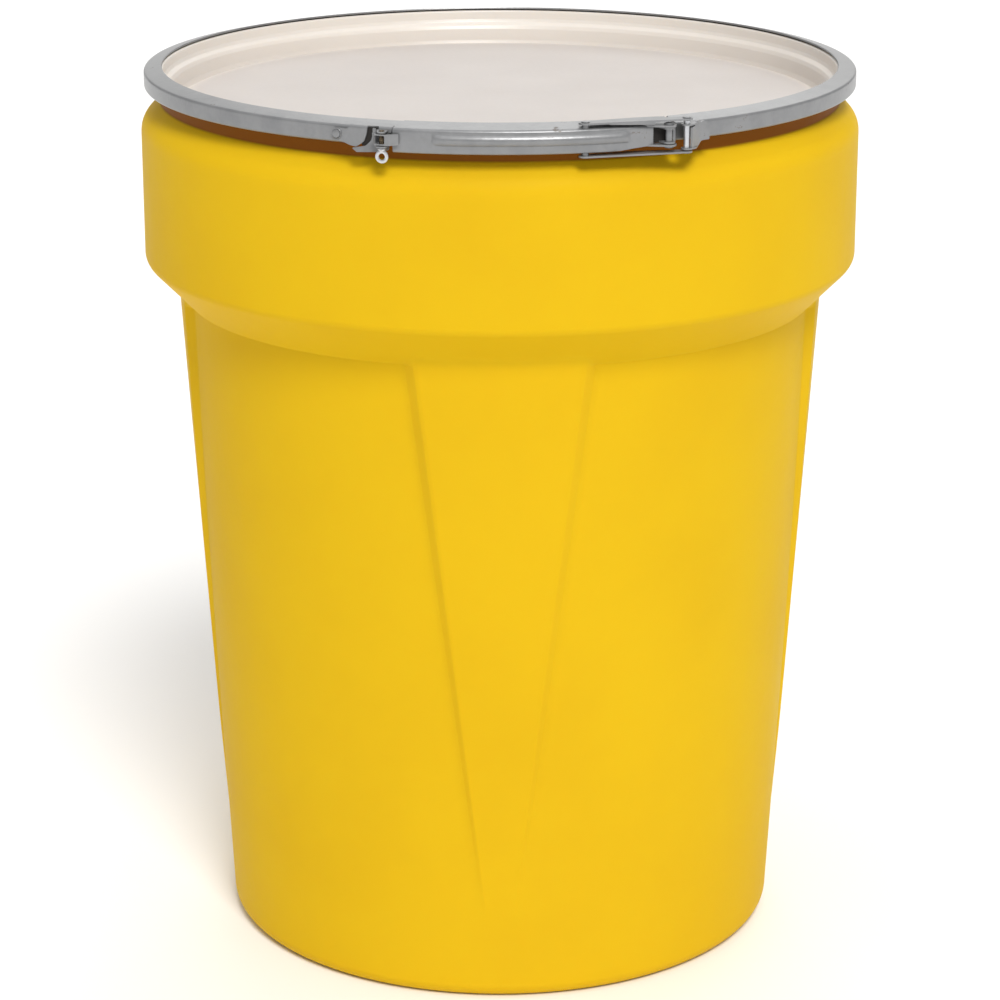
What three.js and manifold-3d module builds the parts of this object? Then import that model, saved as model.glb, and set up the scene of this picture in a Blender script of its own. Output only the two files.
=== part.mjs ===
// Overpack salvage drum: a tapered plastic drum with a wide collar, a recessed plug lid,
// and a split steel closure ring drawn tight by an over-centre lever.
// Millimetres, +Z up. The origin is the centre of the base, and the lever faces -Y.
import * as THREE from "three";
import { mergeVertices } from "three/addons/utils/BufferGeometryUtils.js";
import Module from "manifold-3d";

const wasm = await Module();
wasm.setup();

// Driving dimensions. Heights in the profiles are measured from the top of the closure ring.
const ringTop = 697.3;
const collarRadius = 280;
const footRadius = 221;
const neckRadius = 264.2;
const neckDrop = 27;
const shoulderRadius = 20;
const shoulderDrop = 50.5;
const collarFootDrop = 149.5;
const bodyTopRadius = 247.3;
const bodyTopDrop = 182.5;
const baseFillet = 13;
const collarFillet = 10;
const wall = 5;
const panelCount = 4;
const panelTopRadius = 253.6;
const panelTopDrop = 176;
const panelTopHalf = 15.2;
const panelFootHalf = 3.5;
const panelFootHeight = 60;

const lipInner = 262.7;
const ringOuter = 276.5;
const lipSlope = 3 / 13.8;
const ringFoot = 15;
const ringHeight = 18;
const ringSheet = 1.5;
const arcCount = 5;
const splitAt = 26.6;
const splitGap = 0.5;
const hingeGap = 0.12;

const leverSheet = 1.3;
const leverFace = 280.8;
const leverPivot = { r: 283.4, at: 24.9 };
const linkPivot = { r: 277, at: 12.5 };
const anchorPivot = { r: 285, at: 27.6 };
const lockPin = { r: 284, at: -17 };
const linkSheet = 1.3;
const upperLinkAt = -0.8;
const lowerLinkAt = 22.7;
const pinRadius = 2.4;
const pinHole = 2.8;

const turnSteps = 60;
const degree = Math.PI / 180;
const weld = 1e-3;

const plastic = (color) => new THREE.MeshStandardMaterial({ color, roughness: 0.45, metalness: 0 });
const yellow = plastic(0xf2c81a);
const natural = plastic(0xe4dcd4);
const sealRubber = new THREE.MeshStandardMaterial({ color: 0x2a2a2a, roughness: 0.9, metalness: 0 });
const greyPaint = new THREE.MeshStandardMaterial({ color: 0x9ba1a4, roughness: 0.35, metalness: 0.4 });
const zinc = new THREE.MeshStandardMaterial({ color: 0xc8ccd0, roughness: 0.25, metalness: 0.9 });

// A closed geometry as a solid. One whose faces point inwards is turned round first.
function solid(geometry) {
  const bare = geometry.index ? geometry.toNonIndexed() : geometry.clone();
  bare.deleteAttribute("normal");
  bare.deleteAttribute("uv");
  const merged = mergeVertices(bare, weld);
  const vertProperties = merged.attributes.position.array;
  const made = new wasm.Manifold(
    new wasm.Mesh({ numProp: 3, vertProperties, triVerts: new Uint32Array(merged.index.array) }),
  );
  if (made.volume() > 0) return made;
  const turned = merged.index.array.slice().reverse();
  return new wasm.Manifold(
    new wasm.Mesh({ numProp: 3, vertProperties, triVerts: new Uint32Array(turned) }),
  );
}

const drum = new THREE.Group();

// Adds a solid to the drum as a named mesh.
function piece(name, made, material) {
  const { vertProperties, triVerts } = made.getMesh();
  const geometry = new THREE.BufferGeometry()
    .setAttribute("position", new THREE.BufferAttribute(vertProperties, 3))
    .setIndex(new THREE.BufferAttribute(triVerts, 1));
  geometry.computeVertexNormals();
  const mesh = new THREE.Mesh(geometry, material);
  mesh.name = name;
  drum.add(mesh);
}

// The plan position at radius r and at an angle in degrees from -Y towards +X.
const polar = ({ r, at }) => new THREE.Vector2(r * Math.sin(at * degree), -r * Math.cos(at * degree));

// A profile of [radius, height over the ring's top] pairs that runs anticlockwise, as vectors.
const section = (profile) => profile.map(([r, h]) => new THREE.Vector2(r, h + ringTop));

// Turns a profile right round the drum's axis.
const turned = (points) => solid(new THREE.LatheGeometry(points, turnSteps).rotateX(Math.PI / 2));

// Sweeps a profile round the axis from one angle to another and closes both ends.
function swept(points, from, to, stepDegrees = 6) {
  const steps = Math.max(1, Math.ceil((to - from) / stepDegrees));
  const skin = new THREE.LatheGeometry(
    [...points, points[0]], steps, from * degree, (to - from) * degree,
  ).rotateX(Math.PI / 2);
  const faces = THREE.ShapeUtils.triangulateShape(points, []);
  const lastRow = steps * (points.length + 1);
  const startCap = faces.flat();
  const endCap = faces.flatMap(([a, b, c]) => [c + lastRow, b + lastRow, a + lastRow]);
  skin.setIndex([...skin.index.array, ...startCap, ...endCap]);
  return solid(skin);
}

// The convex outline round some circles given as [centre, radius].
function around(circles, steps = 20) {
  const points = circles.flatMap(([centre, radius]) =>
    Array.from({ length: steps }, (_, i) => {
      const turn = (i / steps) * 2 * Math.PI;
      return new THREE.Vector2(centre.x + radius * Math.cos(turn), centre.y + radius * Math.sin(turn));
    }),
  );
  points.sort((a, b) => a.x - b.x || a.y - b.y);
  const half = (list) => {
    const kept = [];
    for (const p of list) {
      while (kept.length > 1) {
        const [a, b] = kept.slice(-2);
        if ((b.x - a.x) * (p.y - a.y) - (b.y - a.y) * (p.x - a.x) > 1e-9) break;
        kept.pop();
      }
      kept.push(p);
    }
    return kept.slice(0, -1);
  };
  return new THREE.Shape([...half(points), ...half([...points].reverse())]);
}

// A flat plate: an outline in plan between two heights over the ring's top.
const plate = (shape, low, high) =>
  solid(
    new THREE.ExtrudeGeometry(shape, { depth: high - low, bevelEnabled: false, curveSegments: 6 })
      .translate(0, 0, ringTop + low),
  );

// An upright round bar at a plan position.
const bar = (centre, radius, low, high) => plate(around([[centre, radius]]), low, high);

// A prism that stands radially through the drum's skin. Its outline is in millimetres
// along the skin, at the lever's face, and in height over the ring's top.
function radial(shape, at) {
  const depth = 40;
  return solid(
    new THREE.ExtrudeGeometry(shape, { depth, bevelEnabled: false, curveSegments: 6 })
      .rotateX(Math.PI / 2)
      .translate(0, -leverFace + depth / 2, ringTop)
      .rotateZ(at * degree),
  );
}

// The drum: one moulded shell, open at the top, with a rolled bead at its mouth.
function drumShell() {
  const arc = (r, h, radius, from, to, steps) =>
    Array.from({ length: steps + 1 }, (_, i) => {
      const turn = (from + ((to - from) * i) / steps) * degree;
      return [r + radius * Math.cos(turn), h + radius * Math.sin(turn)];
    });
  const base = -ringTop;
  const collarFilletHeight = -collarFootDrop + collarFillet * Math.tan(22.5 * degree);
  const outside = [
    [0, base],
    ...arc(footRadius - baseFillet, base + baseFillet, baseFillet, -90, 0, 4),
    [bodyTopRadius, -bodyTopDrop],
    ...arc(collarRadius - collarFillet, collarFilletHeight, collarFillet, -45, 0, 3),
    ...arc(collarRadius - shoulderRadius, -shoulderDrop, shoulderRadius, 0, 45, 4),
    [neckRadius, -neckDrop],
    [neckRadius - 0.8, -18],
    [264.3, -15.9],
    [272.5, -13.7],
    [272.5, -11.3],
    [271.6, -10.3],
  ];
  const inside = [
    [265.5, -10.3],
    [264.6, -12.6],
    [260.6, -16.5],
    [259.3, -19],
    [259.3, -neckDrop - 2.2],
    [270.6, -40],
    [collarRadius - wall, -shoulderDrop],
    [collarRadius - wall, -collarFootDrop + 4],
    [bodyTopRadius - wall, -bodyTopDrop],
    [footRadius - wall + 1, base + baseFillet + wall],
    [footRadius - wall - 12, base + wall],
    [0, base + wall],
  ];
  let shell = turned(section([...outside, ...inside]));

  // The four raised panels are widest under the collar and taper towards the foot. Their
  // faces lean in more than the wall does, so they run out into it. Each is a band round
  // the body cut by a tapered prism.
  const height = panelFootHeight;
  const faceFoot = footRadius + ((panelTopRadius - footRadius) * height) / (ringTop - panelTopDrop);
  const wallFoot = footRadius + ((bodyTopRadius - footRadius) * height) / (ringTop - bodyTopDrop);
  const overlap = 3;
  const band = section([
    [wallFoot - wall / 2, base + height],
    [faceFoot, base + height],
    [panelTopRadius, -panelTopDrop],
    [panelTopRadius + 1, -panelTopDrop + overlap],
    [panelTopRadius - wall / 2, -panelTopDrop + overlap],
    [bodyTopRadius - wall / 2, -bodyTopDrop],
  ]);
  const footHalf = faceFoot * Math.sin(panelFootHalf * degree);
  const topHalf = panelTopRadius * Math.sin(panelTopHalf * degree);
  const outline = new THREE.Shape([
    new THREE.Vector2(-footHalf, base + height - 1),
    new THREE.Vector2(footHalf, base + height - 1),
    new THREE.Vector2(topHalf, -panelTopDrop + overlap + 1),
    new THREE.Vector2(-topHalf, -panelTopDrop + overlap + 1),
  ]);
  const depth = 90;
  const prism = solid(
    new THREE.ExtrudeGeometry(outline, { depth, bevelEnabled: false })
      .rotateX(Math.PI / 2)
      .translate(0, -collarRadius + depth, ringTop),
  );
  const panel = swept(band, -1.5 * panelTopHalf, 1.5 * panelTopHalf).intersect(prism);
  for (let i = 0; i < panelCount; i++) {
    shell = shell.add(panel.rotate([0, 0, (i * 360) / panelCount]));
  }
  return shell;
}
piece("drum_shell", drumShell(), yellow);

// The lid: a dished plug whose rim caps the mouth's bead, with a gutter round its flat panel.
piece("lid", turned(section([
  [0, -31.5],
  [245.5, -31.5],
  [247.5, -34.2],
  [252.5, -34.2],
  [255.6, -32],
  [257.4, -26],
  [259.2, -17],
  [261, -14.2],
  [263.6, -12],
  [264.2, -9],
  [264.3, -7],
  [271.4, -7],
  [271.6, -9.6],
  [273.6, -9.6],
  [273.6, -5.8],
  [272.6, -4.6],
  [263.4, -2.4],
  [261.6, -3.6],
  [261.2, -9],
  [260.2, -12],
  [257.8, -14],
  [256, -17],
  [254.2, -26],
  [252.8, -30],
  [250.8, -31.2],
  [249, -30.3],
  [247.8, -28.5],
  [246.4, -28],
  [0, -28],
])), natural);

// The seal: a soft ring in the lid's channel, over the bead.
piece("lid_gasket", turned(section([
  [264.8, -10],
  [271, -10],
  [271, -7.4],
  [264.8, -7.4],
  [264.8, -10],
])), sealRubber);

// The closure ring: one roll-formed channel, split under the lever. It is made as equal
// arcs that stand for its springing open, the first just after the split.
const channel = section([
  [264.5, -ringHeight],
  [ringOuter - 0.8, -ringFoot - 0.3],
  [ringOuter, -ringFoot + 0.6],
  [ringOuter, -3.6],
  [ringOuter - 0.9, -2.9],
  [lipInner, 0],
  [lipInner, -ringSheet],
  [ringOuter - ringSheet, -4.3],
  [ringOuter - ringSheet, -ringFoot + 1.2],
  [264.5, -ringHeight + ringSheet],
]);
const arcNames = [
  "ring_arc_right_front",
  "ring_arc_right_back",
  "ring_arc_back",
  "ring_arc_left_back",
  "ring_arc_left_front",
];
arcNames.forEach((name, i) => {
  const span = 360 / arcCount;
  const from = splitAt + i * span;
  const startGap = i === 0 ? splitGap / 2 : hingeGap / 2;
  const endGap = i === arcCount - 1 ? splitGap / 2 : hingeGap / 2;
  piece(name, swept(channel, from + startGap, from + span - endGap), greyPaint);
});

// The lever: a pressed channel that wraps the ring, with a long bead along its face,
// two ears that turn on the lever pin, and a tongue at the free end.
const lipAt = (r) => -(r - lipInner) * lipSlope;
const leverChannel = section([
  [270, -19.4],
  [leverFace - 0.8, -19.4],
  [leverFace, -18.6],
  [leverFace, -3],
  [leverFace - 1.2, -1.92],
  [266, lipAt(266) + 0.45 + leverSheet],
  [266, lipAt(266) + 0.45],
  [leverFace - leverSheet - 0.3, lipAt(leverFace - leverSheet) + 0.45],
  [leverFace - leverSheet - 0.3, -19.4 + leverSheet],
  [270, -19.4 + leverSheet],
]);
const leverBead = section([
  [279.6, -13],
  [282, -12.2],
  [283, -9.1],
  [282, -6],
  [279.6, -5.2],
]);
const tongueSection = section([
  [leverFace - leverSheet - 0.3, -13.5],
  [leverFace, -13.5],
  [leverFace, -6.2],
  [leverFace - leverSheet - 0.3, -6.2],
]);
const ear = (low, high) =>
  plate(around([
    [polar(leverPivot), 5.6],
    [polar({ r: 279.9, at: 21.7 }), 1.1],
  ]), low, high);
const leverTaper = new THREE.Shape([
  new THREE.Vector2(10, -25),
  new THREE.Vector2(50, -25),
  new THREE.Vector2(50, -16.9),
  new THREE.Vector2(38, -16.9),
]);
const lever = swept(leverChannel, -15.6, 22.6, 3)
  .subtract(radial(leverTaper, 12.6))
  .add(swept(leverBead, -9.8, 18.9, 3))
  .add(swept(tongueSection, -18.6, -15.4, 3))
  .add(ear(-3.1, -1.8))
  .add(ear(-17, -15.7))
  .subtract(bar(polar(leverPivot), pinHole, -20, 2))
  .subtract(bar(polar(linkPivot), pinHole, -22, 2));
piece("lever", lever, greyPaint);

// The lever pin: a riveted pin through the lever's ears and the bracket on the ring's end.
piece(
  "lever_pin",
  bar(polar(leverPivot), pinRadius, -18, -1)
    .add(bar(polar(leverPivot), 4, -1.5, -0.4))
    .add(bar(polar(leverPivot), 3.6, -18.5, -17.3)),
  greyPaint,
);

// The lever bracket: a plate on the ring's left end with two ears round the lever pin.
const bracketEar = (low, high) =>
  plate(around([
    [polar(leverPivot), 4.6],
    [polar({ r: 278.2, at: 23.9 }), 0.8],
    [polar({ r: 278.2, at: 25.6 }), 0.8],
  ]), low, high);
const leverBracket = swept(section([
  [277.2, -15.2],
  [278.6, -15.2],
  [278.6, -3.6],
  [277.2, -3.6],
]), 21, 26.3, 3)
  .add(swept(section([
    [277.2, -15.2],
    [281, -15.2],
    [281, -3.6],
    [277.2, -3.6],
  ]), 25.8, 26.3, 3))
  .add(bracketEar(-4.9, -3.6))
  .add(bracketEar(-15.2, -13.9))
  .subtract(bar(polar(leverPivot), pinHole, -20, 2));
piece("lever_bracket", leverBracket, greyPaint);

// The anchor bracket: a plate on the ring's right end that bulges out to two ears
// round the anchor pin. Its lower edge steps up away from the pin.
const wallPath = [
  { r: 277.2, at: 33.3 },
  { r: 277.2, at: 30.9 },
  { r: 286.6, at: 28.4 },
];
const wallOutline = new THREE.Shape([
  ...wallPath.map(polar),
  ...wallPath.map(({ r, at }) => polar({ r: r + 1.7, at: at + 0.12 })).reverse(),
]);
const anchorEar = (low, high) =>
  plate(around([
    [polar(anchorPivot), 4],
    [polar({ r: 284.4, at: 29.2 }), 0.8],
    [polar({ r: 281, at: 29.9 }), 0.8],
  ]), low, high);
const stepCut = new THREE.Shape([
  new THREE.Vector2(-6, -30),
  new THREE.Vector2(30, -30),
  new THREE.Vector2(30, -15),
  new THREE.Vector2(4, -15),
  new THREE.Vector2(2, -17.4),
  new THREE.Vector2(-3, -19.6),
]);
const anchorBracket = plate(wallOutline, -20.5, -2)
  .subtract(radial(stepCut, 31))
  .add(anchorEar(-3.3, -2.1))
  .add(anchorEar(-20.5, -19.3))
  .subtract(bar(polar(anchorPivot), pinHole - 0.3, -30, 5));
piece("anchor_bracket", anchorBracket, greyPaint);

// The anchor pin stands in the anchor bracket's ears, between the two links.
piece("anchor_pin", bar(polar(anchorPivot), pinRadius - 0.2, -20.9, 0.4), zinc);

// The two links join the lever to the anchor pin, one over the ring and one under it.
// Each swells inwards in the middle so as to clear the lever pin.
const linkEnd = 5;
const linkTip = 4.4;
const link = (low) =>
  plate(around([
    [polar(linkPivot), linkEnd],
    [polar(anchorPivot), linkTip],
    [polar({ r: 275.6, at: 20 }), linkEnd],
  ]), low, low + linkSheet)
    .subtract(bar(polar(linkPivot), pinHole, low - 1, low + linkSheet + 1))
    .subtract(bar(polar(anchorPivot), pinHole, low - 1, low + linkSheet + 1));

// The upper link has a lip turned down along its outer edge, and a corner over the pin.
const linkWay = polar(anchorPivot).sub(polar(linkPivot)).normalize();
const linkSide = new THREE.Vector2(linkWay.y, -linkWay.x);
const alongLink = (run, side) =>
  polar(linkPivot).addScaledVector(linkWay, run).addScaledVector(linkSide, side);
const lipOutline = new THREE.Shape([
  alongLink(17, linkEnd - linkSheet - 0.3),
  alongLink(17, linkEnd - 0.4),
  alongLink(50, linkEnd - 0.6),
  alongLink(50, linkEnd - linkSheet - 0.5),
]);
const cornerOutline = new THREE.Shape([
  alongLink(30, -4),
  alongLink(60, -2),
  alongLink(58, -9.4),
  alongLink(40, -9.6),
]);
const upperLink = link(-upperLinkAt)
  .add(plate(lipOutline, -1, -upperLinkAt + 0.5))
  .add(plate(cornerOutline, -upperLinkAt, -upperLinkAt + linkSheet));
piece("link_upper", upperLink, greyPaint);
piece("link_lower", link(-lowerLinkAt), greyPaint);

// Rivets hold the links: at the lever they pass through its flanges, and at the anchor
// pin they are its peened heads.
const upperHead = -upperLinkAt + linkSheet + 0.3;
const lowerHead = -lowerLinkAt - 0.3;
const headHeight = 0.9;
const headRadius = 3.3;
const rivet = (pivot, headLow, shankLow, shankHigh) =>
  bar(polar(pivot), headRadius, headLow, headLow + headHeight)
    .add(bar(polar(pivot), pinRadius, shankLow, shankHigh));
piece("lever_rivet_upper", rivet(linkPivot, upperHead, -2, upperHead + 0.5), greyPaint);
piece(
  "lever_rivet_lower",
  rivet(linkPivot, lowerHead - headHeight, lowerHead - 0.5, -18.3),
  greyPaint,
);
piece("anchor_rivet_upper", rivet(anchorPivot, upperHead, 0.9, upperHead + 0.5), greyPaint);
piece(
  "anchor_rivet_lower",
  rivet(anchorPivot, lowerHead - headHeight, lowerHead - 0.5, -lowerLinkAt + linkSheet),
  greyPaint,
);

// The catch plate on the ring: a rounded riveted end, a body with one round corner,
// a slot, a turned-down fin, and two ears that take the lock pin.
const catchAt = -20.4;
const catchRivetAt = -24.6;
const catchRivetHeight = -9.1;
const catchInner = 277.2;
const catchOuter = 278.6;
const alongCatch = (at) => (at - catchAt) * degree * leverFace;
const catchBody = new THREE.Shape();
catchBody.moveTo(alongCatch(-24.2), -13.2);
catchBody.lineTo(alongCatch(-21.6), -15.8);
catchBody.quadraticCurveTo(alongCatch(-19.5), -15.4, alongCatch(-19.45), -6);
catchBody.lineTo(alongCatch(-19.45), -2.2);
catchBody.lineTo(alongCatch(-23.2), -2.2);
catchBody.lineTo(alongCatch(-23.4), -4.8);
catchBody.lineTo(alongCatch(-24.2), -5);
const rivetSpot = new THREE.Vector2(alongCatch(catchRivetAt), catchRivetHeight);
const catchEnd = around([[rivetSpot, 4.6]]);
const catchHook = new THREE.Shape(
  [
    [-22, -17.6],
    [-18, -19.5],
    [-16.3, -18.2],
    [-16.3, -3.8],
    [-17.9, -3.8],
    [-17.9, -2.2],
    [-19.6, -2.2],
    [-18.75, -4.2],
    [-18.75, -13],
    [-19.6, -16],
  ].map(([at, h]) => new THREE.Vector2(alongCatch(at), h)),
);
const lockEar = (low, high, radius) =>
  plate(around([
    [polar(lockPin), radius],
    [polar({ r: 278, at: -18.1 }), 0.8],
    [polar({ r: 278, at: -16.5 }), 0.8],
  ]), low, high);
const catchSheet = swept(section([
  [catchInner, -22],
  [catchOuter, -22],
  [catchOuter, -1],
  [catchInner, -1],
]), -27, -15, 3);
const catchOutline = radial(catchBody, catchAt)
  .add(radial(catchEnd, catchAt))
  .add(radial(catchHook, catchAt));
const catchPlate = catchSheet
  .intersect(catchOutline)
  .subtract(radial(around([[rivetSpot, 2.1]]), catchAt))
  .add(lockEar(-5, -3.8, 3.8))
  .add(lockEar(-15.5, -14.3, 4.6))
  .subtract(bar(polar(lockPin), 2.3, -30, 5));
piece("catch_plate", catchPlate, greyPaint);

// The rivet through the catch plate's round end.
const rivetAxis = polar({ r: 1, at: catchRivetAt });
const catchRivet = new THREE.LatheGeometry(
  [
    [0, catchInner - 0.3],
    [1.8, catchInner - 0.3],
    [1.8, catchOuter + 0.3],
    [3.3, catchOuter + 0.3],
    [3.1, catchOuter + 1.1],
    [1.8, catchOuter + 1.6],
    [0, catchOuter + 1.6],
  ].map(([r, h]) => new THREE.Vector2(r, h)),
  16,
)
  .applyMatrix4(new THREE.Matrix4().makeRotationFromQuaternion(
    new THREE.Quaternion().setFromUnitVectors(
      new THREE.Vector3(0, 1, 0),
      new THREE.Vector3(rivetAxis.x, rivetAxis.y, 0),
    ),
  ))
  .translate(0, 0, ringTop + catchRivetHeight);
piece("catch_rivet", solid(catchRivet), greyPaint);

// The lock staple: a strap bowed out from the lever's tongue, open where the pin passes.
const strapPath = [
  { r: 281.1, at: -14 },
  { r: 281.1, at: -14.9 },
  { r: 286.3, at: -15.7 },
  { r: 286.3, at: -18 },
  { r: 281.1, at: -18.4 },
  { r: 282.4, at: -18.7 },
  { r: 287.6, at: -18.2 },
  { r: 287.6, at: -15.5 },
  { r: 282.4, at: -14.7 },
  { r: 282.4, at: -14 },
];
const strapWindow = new THREE.Shape([
  new THREE.Vector2(-3.6, -12.4),
  new THREE.Vector2(3.6, -12.4),
  new THREE.Vector2(3.6, -7.2),
  new THREE.Vector2(-3.6, -7.2),
]);
const windowPrism = radial(strapWindow, -17.1).translate(...polar({ r: 23.8, at: -17.1 }).toArray(), 0);
piece(
  "lock_staple",
  plate(new THREE.Shape(strapPath.map(polar)), -13.7, -6).subtract(windowPrism),
  greyPaint,
);

// The lock pin: a zinc-plated pin pushed up through the ears, with a flat eye at its foot.
const eyeAt = -22;
const eye = new THREE.Shape().absarc(0, eyeAt, 4.9, 0, 2 * Math.PI);
eye.holes.push(new THREE.Path().absarc(0, eyeAt, 2.5, 0, 2 * Math.PI));
const eyeSheet = 1.6;
const eyePlate = solid(
  new THREE.ExtrudeGeometry(eye, { depth: eyeSheet, bevelEnabled: false, curveSegments: 12 })
    .rotateX(Math.PI / 2)
    .translate(0, -lockPin.r + eyeSheet / 2, ringTop)
    .rotateZ(lockPin.at * degree),
);
piece("lock_pin", bar(polar(lockPin), 1.9, -18, -3.2).add(eyePlate), zinc);

export default drum;
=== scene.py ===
import math

import bpy
import numpy as np
from mathutils.geometry import convex_hull_2d, delaunay_2d_cdt
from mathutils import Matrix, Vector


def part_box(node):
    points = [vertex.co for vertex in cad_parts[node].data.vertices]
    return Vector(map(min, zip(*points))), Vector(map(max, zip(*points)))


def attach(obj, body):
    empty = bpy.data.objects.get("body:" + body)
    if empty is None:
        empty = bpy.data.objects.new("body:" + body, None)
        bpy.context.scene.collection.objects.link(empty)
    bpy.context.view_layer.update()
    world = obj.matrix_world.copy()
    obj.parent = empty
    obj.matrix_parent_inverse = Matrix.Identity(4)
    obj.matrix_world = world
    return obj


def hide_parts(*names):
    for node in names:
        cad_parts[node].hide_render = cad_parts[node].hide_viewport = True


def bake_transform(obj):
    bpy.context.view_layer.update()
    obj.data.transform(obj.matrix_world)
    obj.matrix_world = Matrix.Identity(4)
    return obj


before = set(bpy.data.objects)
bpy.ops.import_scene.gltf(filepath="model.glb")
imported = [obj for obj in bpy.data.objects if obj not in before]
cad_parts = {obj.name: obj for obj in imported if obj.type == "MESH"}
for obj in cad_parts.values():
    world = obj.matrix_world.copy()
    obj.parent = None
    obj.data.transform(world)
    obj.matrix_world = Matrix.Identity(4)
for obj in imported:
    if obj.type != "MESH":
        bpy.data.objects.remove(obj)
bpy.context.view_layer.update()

mm = 0.001

# ---------------------------------------------------------------------------------------
# Camera, light and floor. The drum stands on a wide pale floor under an even white sky,
# with one broad soft light to the front right, and fainter ones behind and overhead. The
# camera hangs on the collar's radius and the height of the ring's top edge.
collar_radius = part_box("drum_shell")[1].x
ring_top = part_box("ring_arc_back")[1].z

camera = bpy.data.objects.new("camera", bpy.data.cameras.new("camera"))
bpy.context.scene.collection.objects.link(camera)
camera_pitch = 0.3019
camera.location = (0, -9.170 * collar_radius, ring_top + 1.572 * collar_radius)
camera.rotation_euler = (math.pi / 2 - camera_pitch, 0, 0)
camera.data.lens = 3.314 * camera.data.sensor_width
camera.data.clip_end = 60
bpy.context.scene.camera = camera
bpy.context.scene.view_settings.view_transform = "Standard"


def sun(name, azimuth, elevation, irradiance, width, color):
    """A sun seen in a direction, in degrees from -Y towards +X and up from the floor. Its
    irradiance is in units of a white sky's, and its width is its angle across in degrees."""
    data = bpy.data.lights.new(name, "SUN")
    data.energy, data.angle, data.color = irradiance * math.pi, math.radians(width), color
    lamp = bpy.data.objects.new(name, data)
    lamp.rotation_euler = (math.radians(90 - elevation), 0, math.radians(azimuth))
    bpy.context.scene.collection.objects.link(lamp)


sun("key", 13, 47, 0.72, 20, (1.0, 0.985, 0.96))
sun("back", 170, 42, 0.16, 40, (1.0, 0.99, 0.97))
sun("back_low", 180, 17, 0.10, 50, (1.0, 0.99, 0.96))
sun("top", 0, 88, 0.20, 70, (1.0, 1.0, 1.0))

sky = bpy.data.worlds.new("even_sky")
sky.use_nodes = True
sky.node_tree.nodes["Background"].inputs["Color"].default_value = (1, 1, 1, 1)
sky.node_tree.nodes["Background"].inputs["Strength"].default_value = 0.38
bpy.context.scene.world = sky

floor_mesh = bpy.data.meshes.new("floor")
floor_half = 30
floor_mesh.from_pydata(
    [(x * floor_half, y * floor_half, 0) for x, y in ((-1, -1), (1, -1), (1, 1), (-1, 1))],
    [], [(0, 1, 2, 3)],
)
floor = bpy.data.objects.new("floor", floor_mesh)
bpy.context.scene.collection.objects.link(floor)


class Socket:
    """A shader socket on which Python's operators build Math nodes, so that a mask or a
    height is written as an expression. node() adds a node of any other type."""

    def __init__(self, tree, out=None):
        self.tree = tree
        self.out = out

    def node(self, kind, settings=None, inputs=None, output=0):
        made = self.tree.nodes.new(kind)
        for name, value in (settings or {}).items():
            setattr(made, name, value)
        for name, value in (inputs or {}).items():
            if isinstance(value, Socket):
                self.tree.links.new(value.out, made.inputs[name])
            else:
                made.inputs[name].default_value = value
        return Socket(self.tree, made.outputs[output])

    def math(self, operation, *values):
        return self.node("ShaderNodeMath", {"operation": operation}, dict(enumerate(values)))

    def __add__(self, other):
        return self.math("ADD", self, other)

    def __sub__(self, other):
        return self.math("SUBTRACT", self, other)

    def __rsub__(self, other):
        return self.math("SUBTRACT", other, self)

    def __mul__(self, other):
        return self.math("MULTIPLY", self, other)

    __radd__, __rmul__ = __add__, __mul__

    def fade(self, low, high):
        """0 below low, 1 above high, smooth between."""
        return self.node(
            "ShaderNodeMapRange", {"interpolation_type": "SMOOTHSTEP"},
            {"Value": self, "From Min": low, "From Max": high},
        )

    def from_axis(self):
        """The distance of this place from the drum's axis: the length of its plan part."""
        plan = self.node("ShaderNodeVectorMath", {"operation": "MULTIPLY"},
                         {0: self, 1: (1, 1, 0)})
        return self.node("ShaderNodeVectorMath", {"operation": "LENGTH"}, {0: plan}, "Value")

    def tint(self, first, second):
        """The first colour where this is 0, the second where it is 1."""
        inputs = {"Factor": self, 6: first, 7: second}
        return self.node("ShaderNodeMix", {"data_type": "RGBA"}, inputs, output=2)


def finish(name, **constants):
    """A material whose shader has these constants, with a socket to build its pattern on
    and the place on the piece, in metres. Returns (material, shader node, place)."""
    material = bpy.data.materials.new(name)
    material.use_nodes = True
    tree = material.node_tree
    shader = tree.nodes["Principled BSDF"]
    for socket, value in constants.items():
        shader.inputs[socket.replace("_", " ")].default_value = value
    place = Socket(tree).node("ShaderNodeTexCoord", output="Object")
    return material, shader, place


def feed(shader, name, value):
    """Links a built socket into one of the shader's inputs."""
    value.tree.links.new(value.out, shader.inputs[name])


def grain(place, scale, detail=2.0, roughness=0.5):
    """Noise of the given scale per metre at a place, from 0 to 1."""
    inputs = {"Vector": place, "Scale": scale, "Detail": detail, "Roughness": roughness}
    return place.node("ShaderNodeTexNoise", None, inputs)


def bumped(shader, height, distance):
    """Feeds a height, in units of the distance in metres, to the shader's normal."""
    inputs = {"Height": height, "Distance": distance}
    feed(shader, "Normal", height.node("ShaderNodeBump", None, inputs))


floor_paint, floor_shader, floor_place = finish("pale_floor", Roughness=0.9)
feed(floor_shader, "Base Color",
     grain(floor_place, 1.5).tint((0.93, 0.93, 0.93, 1), (0.95, 0.95, 0.95, 1)))
floor_mesh.materials.append(floor_paint)

# ---------------------------------------------------------------------------------------
# Drum shell. One rotationally moulded shell of yellow polyethylene: a tapered body, a
# chamfer and a wide collar, a beaded mouth, and four raised panels that are widest under
# the chamfer and run out flush near the foot. Its skin is a grid of angle by outline, and
# the neck under the ring is painted dark brown: painted shade under the ring.
body_top_radius = 247.2 * mm
body_top = ring_top - 182.5 * mm
face_top_radius = 253.5 * mm
face_top = ring_top - 176 * mm
foot_radius = 221 * mm
shell_wall = 5 * mm


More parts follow.
